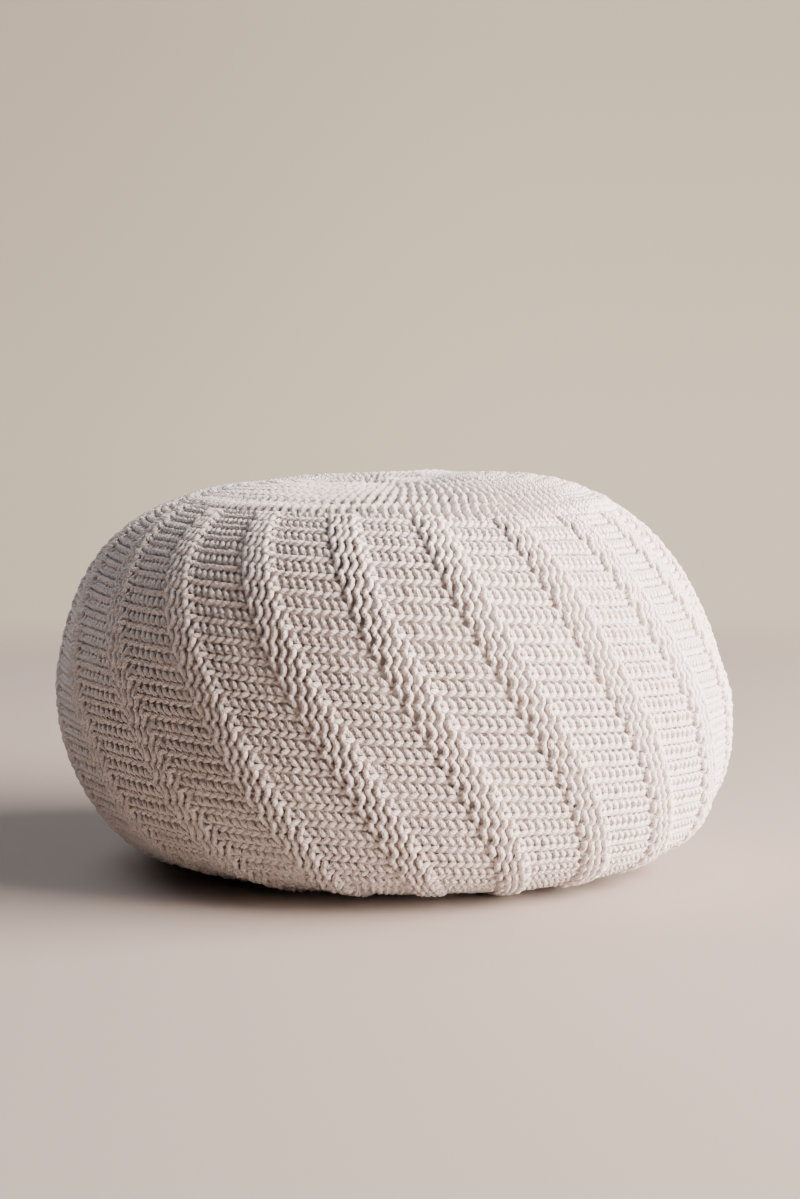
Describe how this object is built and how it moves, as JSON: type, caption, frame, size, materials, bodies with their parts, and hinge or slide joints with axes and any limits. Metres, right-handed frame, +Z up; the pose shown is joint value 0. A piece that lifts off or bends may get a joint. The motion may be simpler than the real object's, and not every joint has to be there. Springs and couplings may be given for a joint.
{
  "type": "round knitted floor pouf",
  "caption": "Low round floor pouf, a filled seat or footstool with a knitted cotton cover, slanted ribs round its sides and a crown drawn in at its centre.",
  "frame": {"origin": "centre of the flat underside, where the pouf rests on the floor", "axes": "+Z up through the crown, -Y towards the front, +X to the right seen from the front"},
  "size_m": [0.5484, 0.5508, 0.3176],
  "materials": {
    "cotton_yarn": "cream cotton yarn, thick knit, matt"
  },
  "bodies": {
    "root": {"knitted_pouf": "cotton_yarn"}
  },
  "joints": []
}
